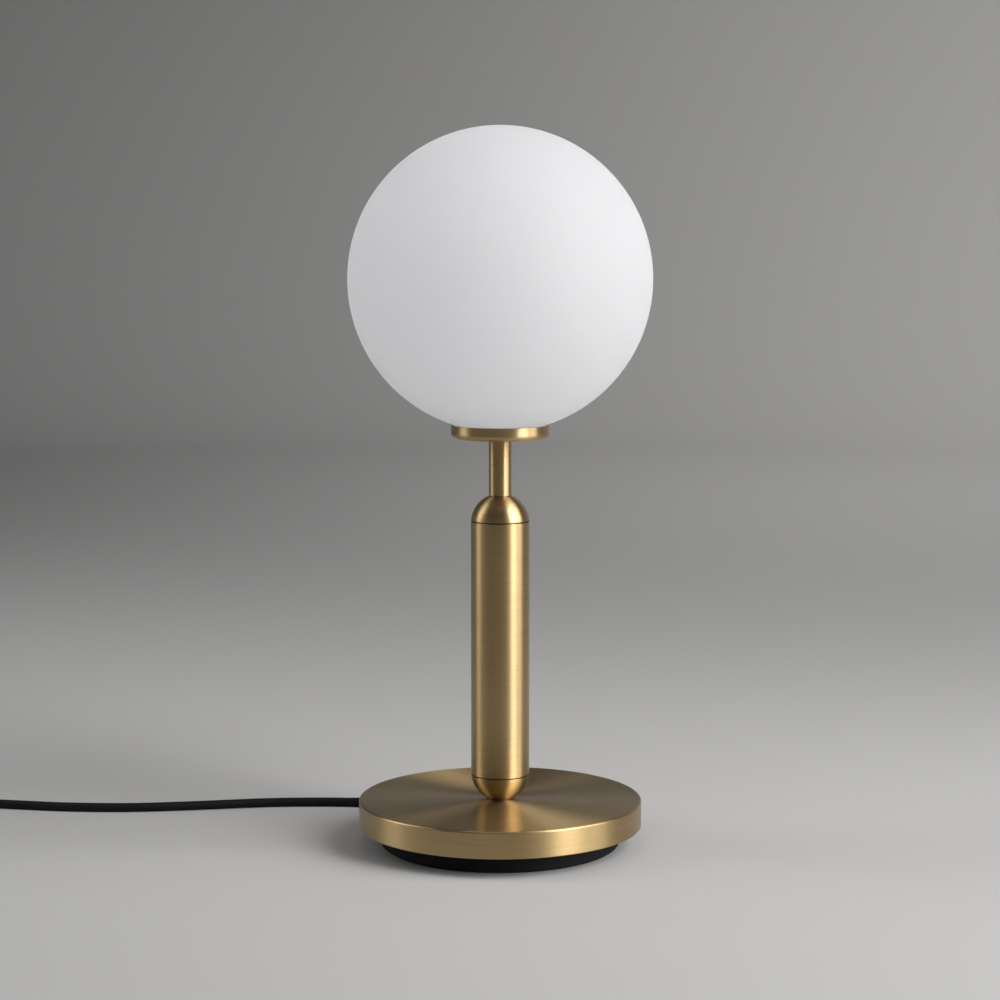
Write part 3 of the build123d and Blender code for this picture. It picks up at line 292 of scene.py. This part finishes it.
def makeOpal(look):
    material, tree, place = newMaterial(look["name"])
    cloud = addNode(tree, "TexNoise", {"Vector": place, "Scale": 1 / look["cloud"]})
    etch = addNode(tree, "TexNoise", {"Vector": place, "Scale": 1 / look["etch"]})
    low, high = look["roughness"]
    colours = ((colourSpan[0], look["milk"]), (colourSpan[1], look["shade"]))
    span = {0: etch, 1: grainSpan[0], 2: grainSpan[1], 3: low, 4: high}
    shader = addNode(
        tree,
        "BsdfPrincipled",
        {
            "Base Color": addNode(tree, "ValToRGB", {0: cloud}, colours),
            "Roughness": addNode(tree, "MapRange", span),
            "IOR": look["ior"],
            "Subsurface Weight": 1.0,
            "Subsurface Radius": (1.0, 0.96, 0.92),
            "Subsurface Scale": look["depth"],
            "Normal": addNode(tree, "Bump", {"Height": etch, "Distance": look["etchDepth"]}),
        },
    )
    through = addNode(tree, "BsdfTranslucent", {"Color": toLinear(look["milk"])})
    both = addNode(tree, "MixShader", {0: look["translucence"], 1: shader, 2: through})
    addNode(tree, "OutputMaterial", {0: both})
    return material


# Moulded, cast, plated and stamped stuffs: name, light and dark colour, grain and relief in mm,
# roughness from and to, IOR where it is no metal, and how far light goes in, in mm.
stuffs = {
    # a fine spark-eroded texture that swallows light, so its IOR is matched below the resin's own
    "black_plastic": ("blackGlassFilledNylon", "#09090a", "#050506", 0.5, 0.02, (0.62, 0.74), 1.3),
    # a dull bloom from the extruder, also darker than plain PVC
    "cord": ("blackExtrudedPvc", "#0a0a0b", "#060607", 1.2, 0.015, (0.56, 0.68), 1.32),
    # sharp highlights on a smooth black
    "black_gloss": ("glossyBlackAbs", "#121213", "#0b0b0c", 6.0, 0.01, (0.14, 0.22), 1.54),
    # open pores, soaks up light
    "foot_pad": ("blackFoamRubber", "#262626", "#141414", 0.7, 0.12, (0.82, 0.95), 1.5),
    # frosted and slightly see-through
    "silicone": ("frostedSilicone", "#dedbd3", "#cfcbc1", 1.0, 0.01, (0.4, 0.5), 1.41, 2.0),
    # yellowish ivory
    "nylon": ("naturalNylon", "#e8e2cf", "#dcd4bc", 1.5, 0.01, (0.35, 0.45), 1.53, 1.5),
    # brown-black with short flow marks
    "phenolic": ("brownBlackPhenolic", "#2a211c", "#15100e", 2.5, 0.008, (0.2, 0.3), 1.6),
    # soft white with a moulded grain
    "white_plastic": ("whiteMouldedPbt", "#f0efeb", "#e6e4de", 0.8, 0.012, (0.35, 0.45), 1.56, 0.8),
    "wire_brown": ("brownPvcInsulation", "#6a3a20", "#553018", 1.5, 0.01, (0.35, 0.45), 1.53),
    "wire_blue": ("bluePvcInsulation", "#2a63a8", "#22548f", 1.5, 0.01, (0.35, 0.45), 1.53),
    # black stove paint over sand-cast pits
    "iron": ("paintedCastIron", "#2b2a29", "#191817", 1.6, 0.15, (0.6, 0.78), 1.5),
    # faintly blue and cloudy
    "steel": ("zincPlatedSteel", "#c9cbcd", "#a9abae", 3.0, 0.008, (0.28, 0.42)),
    # almost a mirror, a little warm
    "nickel": ("brightNickelPlate", "#d6d0c6", "#bdb6aa", 4.0, 0.004, (0.14, 0.24)),
    # bare and slightly tarnished
    "contact_brass": ("stampedBareBrass", "#dcb768", "#bd954a", 2.0, 0.006, (0.22, 0.36)),
}


def makeStuff(name, light, dark, grain, relief, roughness, ior=None, scatter=None):
    # no IOR marks a metal; the colour drifts over patches 8 grains wide
    material, tree, place = newMaterial(name)
    scale = 1 / (grain * mm)
    fine = addNode(tree, "TexNoise", {"Vector": place, "Scale": scale, "Detail": 3.0})
    broad = addNode(tree, "TexNoise", {"Vector": place, "Scale": scale / 8, "Detail": 3.0})
    low, high = roughness
    colours = ((colourSpan[0], light), (colourSpan[1], dark))
    span = {0: fine, 1: grainSpan[0], 2: grainSpan[1], 3: low, 4: high}
    sockets = {
        "Base Color": addNode(tree, "ValToRGB", {0: broad}, colours),
        "Roughness": addNode(tree, "MapRange", span),
        "Normal": addNode(tree, "Bump", {"Height": fine, "Distance": relief * mm}),
    }
    if ior:
        sockets["IOR"] = ior
    else:
        sockets["Metallic"] = 1.0
    if scatter:
        sockets["Subsurface Weight"] = 0.5
        sockets["Subsurface Radius"] = (1.0, 0.9, 0.75)
        sockets["Subsurface Scale"] = scatter * mm
    addNode(tree, "OutputMaterial", {0: addNode(tree, "BsdfPrincipled", sockets)})
    return material


# Glass-epoxy circuit board under white solder mask, with the weave just felt through it.
board = {
    "mask": "#e9ece6",
    "thin": "#cdd8c8",
    "weave": 0.5 * mm,
    "weaveDepth": 0.01 * mm,
    "roughness": (0.25, 0.4),
    "ior": 1.55,
}


def makeBoard(name, look):
    material, tree, place = newMaterial(name)
    # a wave node of scale 1 repeats every 0.314 of a unit
    sockets = {"Vector": place, "Scale": 0.314 / look["weave"]}
    warp = addNode(tree, "TexWave", sockets, bands_direction="X").outputs["Fac"]
    weft = addNode(tree, "TexWave", sockets, bands_direction="Y").outputs["Fac"]
    weave = addNode(tree, "Math", {0: warp, 1: weft}, operation="MULTIPLY")
    low, high = look["roughness"]
    colours = ((0.0, look["mask"]), (0.6, look["thin"]))
    shader = addNode(
        tree,
        "BsdfPrincipled",
        {
            "Base Color": addNode(tree, "ValToRGB", {0: weave}, colours),
            "Roughness": addNode(tree, "MapRange", {0: weave, 3: low, 4: high}),
            "IOR": look["ior"],
            "Normal": addNode(tree, "Bump", {"Height": weave, "Distance": look["weaveDepth"]}),
        },
    )
    addNode(tree, "OutputMaterial", {0: shader})
    return material


materials = {
    "brass": makeBrass("brushedLacqueredBrass", brass),
    # the seams' grooves get painted shade, a dull brown brass
    "groove": makeBrass("brassPaintedGrooveShade", grooveShade),
    "board": makeBoard("whiteCircuitBoard", board),
}
materials.update({slot: makeOpal(look) for slot, look in opals.items()})
materials.update({slot: makeStuff(*look) for slot, look in stuffs.items()})
for node in cadNodes.values():
    for place in node.material_slots:
        place.material = materials[place.material.name.split(".")[0]]
print("materials made:", len(materials))

# The mains lead in its two stretches

cordToSwitch = makeCord("mains_lead_to_switch", lead["toSwitch"], materials["cord"])
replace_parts(cordToSwitch, "cord_lead")
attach(cordToSwitch, "lamp")

coilRoute = lead["toCoil"] + coilPoints() + lead["toPlug"]
cordToPlug = makeCord("mains_lead_to_plug", coilRoute, materials["cord"])
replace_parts(cordToPlug, "cord_mid", "cord_coil", "cord_tail")
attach(cordToPlug, "lamp")
print("mains lead laid")


# Turned surfaces: sizes and profiles are in millimetres up to turnedPiece


def arc(centre, radius, fromAngle, toAngle, count):
    # points of a circle in the (radius, height) half-plane: centre + radius * (cos a, sin a)
    angle = np.radians(np.linspace(fromAngle, toAngle, count))
    return np.stack([centre[0] + radius * np.cos(angle), centre[1] + radius * np.sin(angle)], 1)


def roundCorners(corners, rounds, count=9, support=0.15):
    # each corner becomes an arc that touches both its sides: centre = corner + bisector * r /
    # sin(half), arc = centre + a turn from one touching point to the other, with a point just
    # before and after
    corners = np.array(corners, float)
    rounds = np.array(rounds, float)[:, None]
    back = np.roll(corners, 1, 0) - corners
    ahead = np.roll(corners, -1, 0) - corners
    back = back / np.linalg.norm(back, axis=1, keepdims=True)
    ahead = ahead / np.linalg.norm(ahead, axis=1, keepdims=True)
    bisector = back + ahead
    bisector = bisector / np.linalg.norm(bisector, axis=1, keepdims=True)
    half = np.arccos(np.clip((back * bisector).sum(1, keepdims=True), -1, 1))
    reach = rounds / np.tan(half)
    centre = corners + bisector * rounds / np.sin(half)
    first, last = corners + back * reach - centre, corners + ahead * reach - centre
    turn = math.pi - 2 * half
    share = np.linspace(0, 1, count)[None, :, None]
    weightFirst = np.sin((1 - share) * turn[:, None]) / np.sin(turn)[:, None]
    weightLast = np.sin(share * turn[:, None]) / np.sin(turn)[:, None]
    arcs = centre[:, None] + first[:, None] * weightFirst + last[:, None] * weightLast
    before = (corners + back * (reach + support * (rounds > 0)))[:, None]
    after = (corners + ahead * (reach + support * (rounds > 0)))[:, None]
    return np.concatenate([before, arcs, after], 1).reshape(-1, 2)


def turnedGrid(profile, steps, closed):
    # the profile carried round Z: point(i, j) = (r_i cos a_j, r_i sin a_j, z_i),
    # a_j = 360 deg * j / steps
    count = len(profile)
    angle = 2 * math.pi * np.arange(steps) / steps
    x = profile[:, :1] * np.cos(angle)
    y = profile[:, :1] * np.sin(angle)
    z = np.repeat(profile[:, 1:], steps, 1)
    i = np.arange(count if closed else count - 1)[:, None] * steps
    iNext = (i + steps) % (count * steps)
    j = np.arange(steps)[None]
    jNext = (j + 1) % steps
    faces = np.stack([i + j, i + jNext, iNext + jNext, iNext + j], 2).reshape(-1, 4)
    return np.stack([x, y, z], 2).reshape(-1, 3), faces


def turnedMesh(name, profile, closed, steps):
    # the grid as a mesh, with its poles and repeated points closed and its faces turned outwards
    points, faces = turnedGrid(np.array(profile), steps, closed)
    mesh = bpy.data.meshes.new(name)
    mesh.from_pydata(points.tolist(), [], faces.tolist())
    shape = bmesh.new()
    shape.from_mesh(mesh)
    bmesh.ops.remove_doubles(shape, verts=shape.verts, dist=1e-6)
    bmesh.ops.recalc_face_normals(shape, faces=shape.faces)
    shape.to_mesh(mesh)
    shape.free()
    mesh.shade_smooth()
    mesh.set_sharp_from_angle(angle=math.radians(30))
    return mesh


def turnedPiece(name, profile, closed, steps, slotName, body="lamp"):
    mesh = turnedMesh(name, np.array(profile) * mm, closed, steps)
    mesh.materials.append(materials[slotName])
    piece = bpy.data.objects.new(name, mesh)
    bpy.context.scene.collection.objects.link(piece)
    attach(piece, body)
    return piece


# Base cover: a spun brass pan over the iron

base = {
    "radius": 85.0,
    "top": 28.0,
    "bottom": 12.0,
    "wall": 1.5,
    "bore": 5.1,
    "topEdge": 1.2,
    "footEdge": 0.6,
    "steps": 360,
}
corners = [
    (base["bore"], base["top"] - base["wall"]),
    (base["radius"] - base["wall"], base["top"] - base["wall"]),
    (base["radius"] - base["wall"], base["bottom"]),
    (base["radius"], base["bottom"]),
    (base["radius"], base["top"]),
    (base["bore"], base["top"]),
]
profile = roundCorners(corners, [0, 0, 0, base["footEdge"], base["topEdge"], 0])
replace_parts(turnedPiece("base_pan", profile, True, base["steps"], "brass"), "base_cover")

# Column: two domes, the tube between them and the neck above

column = {
    "radius": 17.5,
    "bore": 5.1,
    "wall": 1.5,
    "lowerSeam": 42.839,
    "upperSeam": 196.339,
    "domeHeight": 14.839,
    "domeSink": 1.2,  # the dome's centre lies this far inside the seam
    "tipRadius": 7.0,
    "spigot": 15.9,
    "spigotLength": 8.0,
    "seamContact": 16.1,  # tube and dome meet inside this radius, with a groove outside it
    "seamGroove": 0.65,
    "edge": 0.15,
    "grooveShadeFrom": 0.18,  # this far in from the surface
    "seamSlack": 0.01,  # so that the groove's flat sides count as in it
    "neckRadius": 6.75,
    "neckContact": 5.6,
    "neckGroove": 0.35,
    "neckTop": 245.678,
    "edgePoints": 6,
    "domePoints": 40,
    "steps": 192,
    "neckSteps": 128,
}


def domeProfile(c):
    # height above the seam: a spigot below it, half the groove, a small round edge, then a sphere
    # to the tip
    groove = c["seamGroove"] / 2
    shoulder = math.sqrt(c["radius"] ** 2 - (c["domeSink"] + groove) ** 2)
    start = math.degrees(math.asin((c["domeSink"] + groove + c["edge"]) / c["radius"]))
    end = math.degrees(math.acos(c["tipRadius"] / c["radius"]))
    below = [
        (c["bore"], -c["spigotLength"]),
        (c["spigot"], -c["spigotLength"]),
        (c["spigot"], 0.0),
        (c["seamContact"], 0.0),
        (c["seamContact"], groove),
    ]
    edgeCentre = (shoulder - c["edge"], groove + c["edge"])
    edge = arc(edgeCentre, c["edge"], -90, 0, c["edgePoints"])[:-1]
    ball = arc((0, -c["domeSink"]), c["radius"], start, end, c["domePoints"])
    return np.concatenate([below, edge, ball, [(c["bore"], c["domeHeight"])]])


def paintGrooveShade(piece, c):
    # faces at a seam's height, further in than the round edges, take the piece's second material,
    # the painted groove shade
    mesh = piece.data
    mesh.materials.append(materials["groove"])
    centres = np.empty(3 * len(mesh.polygons))
    mesh.polygons.foreach_get("center", centres)
    x, y, z = centres.reshape(-1, 3).T / mm
    # this mask picks out where the painted shade goes
    fromSeam = np.minimum(abs(z - c["lowerSeam"]), abs(z - c["upperSeam"]))
    atSeam = fromSeam < c["seamGroove"] / 2 + c["seamSlack"]
    deep = np.hypot(x, y) < c["radius"] - c["grooveShadeFrom"]
    mesh.polygons.foreach_set("material_index", (atSeam & deep).astype(np.int32))
    return piece


dome = domeProfile(column)
upper = dome + (0, column["upperSeam"])
lower = (dome * (1, -1) + (0, column["lowerSeam"]))[::-1]
upperDome = turnedPiece("column_upper_dome", upper, True, column["steps"], "brass")
lowerDome = turnedPiece("column_lower_dome", lower, True, column["steps"], "brass")
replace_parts(paintGrooveShade(upperDome, column), "upper_dome")
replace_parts(paintGrooveShade(lowerDome, column), "lower_dome")

inner, outer = column["radius"] - column["wall"], column["radius"]
contact, groove, edge = column["seamContact"], column["seamGroove"] / 2, column["edge"]
low, high = column["lowerSeam"], column["upperSeam"]
corners = [
    (inner, low),
    (contact, low),
    (contact, low + groove),
    (outer, low + groove),
    (outer, high - groove),
    (contact, high - groove),
    (contact, high),
    (inner, high),
]
profile = roundCorners(corners, [0, 0, 0, edge, edge, 0, 0, 0])
tube = turnedPiece("column_tube", profile, True, column["steps"], "brass")
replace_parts(paintGrooveShade(tube, column), "stem_tube")

outer, contact, groove = column["neckRadius"], column["neckContact"], column["neckGroove"]
low, high = column["upperSeam"] + column["domeHeight"], column["neckTop"]
corners = [
    (column["bore"], low),
    (contact, low),
    (contact, low + groove),
    (outer, low + groove),
    (outer, high),
    (column["bore"], high),
]
profile = roundCorners(corners, [0, 0, 0, edge, 0, 0])
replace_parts(turnedPiece("neck", profile, True, column["neckSteps"], "brass"), "neck_tube")

# Cup: a shallow turned dish under the globe

cup = {
    "radius": 29.2,
    "bottom": 245.678,
    "floorTop": 246.878,
    "rim": 253.678,
    "wall": 1.0,
    "bore": 5.1,
    "edge": 3.2,
    "rimEdge": 0.3,
    "steps": 256,
}
corners = [
    (cup["bore"], cup["bottom"]),
    (cup["radius"], cup["bottom"]),
    (cup["radius"], cup["rim"]),
    (cup["radius"] - cup["wall"], cup["rim"]),
    (cup["radius"] - cup["wall"], cup["floorTop"]),
    (cup["bore"], cup["floorTop"]),
]
rounds = [0, cup["edge"], cup["rimEdge"], cup["rimEdge"], cup["edge"] - cup["wall"], 0]
profile = roundCorners(corners, rounds)
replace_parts(turnedPiece("globe_dish", profile, True, cup["steps"], "brass"), "globe_cup")
print("brass parts turned")

# Globe: a blown sphere that runs into a short straight neck

globe = {
    "radius": 90.0,
    "wall": 3.0,
    "centre": 339.478,
    "bottom": 248.378,
    "neckOuter": 26.9,
    "neckInner": 23.9,
    "blend": 1.5,
    "lip": 1.2,
    "innerPoints": 90,
    "outerPoints": 120,
    "blendPoints": 8,
    "lipPoints": 7,
    "steps": 256,
}


def neckBlend(sphere, neck, blend, centre):
    # the circle that touches the sphere and the straight neck stands its own radius clear of both:
    # across = neck + blend, down = root((sphere + blend)^2 - across^2)
    across = neck + blend
    down = math.sqrt((sphere + blend) ** 2 - across**2)
    return (across, centre - down), math.degrees(math.atan2(down, -across))


g = globe
outerBlend, outerAngle = neckBlend(g["radius"], g["neckOuter"], g["blend"], g["centre"])
innerBlend, innerAngle = neckBlend(g["radius"] - g["wall"], g["neckInner"], g["blend"], g["centre"])
lipHeight = g["bottom"] + g["lip"]
profile = np.concatenate([
    arc((0, g["centre"]), g["radius"] - g["wall"], 90, innerAngle - 180, g["innerPoints"]),
    arc(innerBlend, g["blend"], innerAngle, 180, g["blendPoints"])[1:],
    arc((g["neckInner"] + g["lip"], lipHeight), g["lip"], 180, 270, g["lipPoints"]),
    arc((g["neckOuter"] - g["lip"], lipHeight), g["lip"], 270, 360, g["lipPoints"]),
    arc(outerBlend, g["blend"], 180, outerAngle, g["blendPoints"]),
    arc((0, g["centre"]), g["radius"], outerAngle - 180, 90, g["outerPoints"])[1:],
])
profile[[0, -1], 0] = 0.0
glass = turnedPiece("glass_globe", profile, False, g["steps"], "opal_glass", "globe")
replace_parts(glass, "globe")
print("globe blown")

# Studio, in metres: a pale round sweep, a wide key at the right, weaker panels at the left and
# above, and one behind for the wall

studio = {
    "paper": "#b4b3b2",
    "fibre": 4 * mm,
    "fibreDepth": 0.02 * mm,
    "roughness": 0.9,
    "floorRadius": 2.6,
    "sweepRadius": 0.9,
    "wallHeight": 3.2,
    "curvePoints": 24,
    "steps": 128,
    "world": "#8d9094",
    "worldStrength": 0.05,
    "aims": {"lamp": (0.0, 0.0, 0.24), "wall": (1.6, 3.1, 0.25)},
}
lights = {
    # degrees round from the camera towards +X, distance, height, (width, height), watts,
    # degrees of spread, aim
    "key": (56, 1.6, 1.05, (0.8, 2.0), 20.0, 120, "lamp"),
    "sideRight": (83, 1.6, 1.05, (0.7, 2.0), 10.0, 120, "lamp"),
    "sideLeft": (-95, 1.6, 1.05, (0.7, 2.0), 5.5, 120, "lamp"),
    "ceiling": (0, 0.3, 2.2, (1.6, 1.6), 3.0, 120, "lamp"),
    "backdrop": (146, 1.6, 2.2, (1.6, 1.6), 21.0, 120, "wall"),
}


def makeSweep(s):
    # a turned surface: flat floor, a quarter circle up, an upright wall
    floor = [(0.0, 0.0), (s["floorRadius"], 0.0)]
    curveCentre = (s["floorRadius"], s["sweepRadius"])
    curve = arc(curveCentre, s["sweepRadius"], -90, 0, s["curvePoints"])[1:]
    top = [(s["floorRadius"] + s["sweepRadius"], s["wallHeight"])]
    mesh = turnedMesh("sweep", np.concatenate([floor, curve, top]), False, s["steps"])
    material, tree, place = newMaterial("palePaper")
    fibre = addNode(tree, "TexNoise", {"Vector": place, "Scale": 1 / s["fibre"], "Detail": 3.0})
    sockets = {
        "Base Color": toLinear(s["paper"]),
        "Roughness": s["roughness"],
        "Normal": addNode(tree, "Bump", {"Height": fibre, "Distance": s["fibreDepth"]}),
    }
    addNode(tree, "OutputMaterial", {0: addNode(tree, "BsdfPrincipled", sockets)})
    mesh.materials.append(material)
    sweep = bpy.data.objects.new("sweep", mesh)
    bpy.context.scene.collection.objects.link(sweep)


makeSweep(studio)
for name, (azimuth, distance, height, size, power, spread, aim) in lights.items():
    panel = bpy.data.lights.new(name, "AREA")
    panel.shape = "RECTANGLE"
    panel.size, panel.size_y = size
    panel.energy = power
    panel.spread = math.radians(spread)
    turn = math.radians(azimuth)
    light = bpy.data.objects.new(name, panel)
    light.location = (distance * math.sin(turn), -distance * math.cos(turn), height)
    away = light.location - Vector(studio["aims"][aim])
    light.rotation_euler = away.to_track_quat("Z", "Y").to_euler()
    light.visible_camera = False
    bpy.context.scene.collection.objects.link(light)

world = bpy.data.worlds.new("studio")
world.use_nodes = True
background = world.node_tree.nodes["Background"]
background.inputs["Color"].default_value = toLinear(studio["world"])
background.inputs["Strength"].default_value = studio["worldStrength"]
bpy.context.scene.world = world
bpy.context.scene.view_settings.view_transform = "Standard"
print("studio lit")
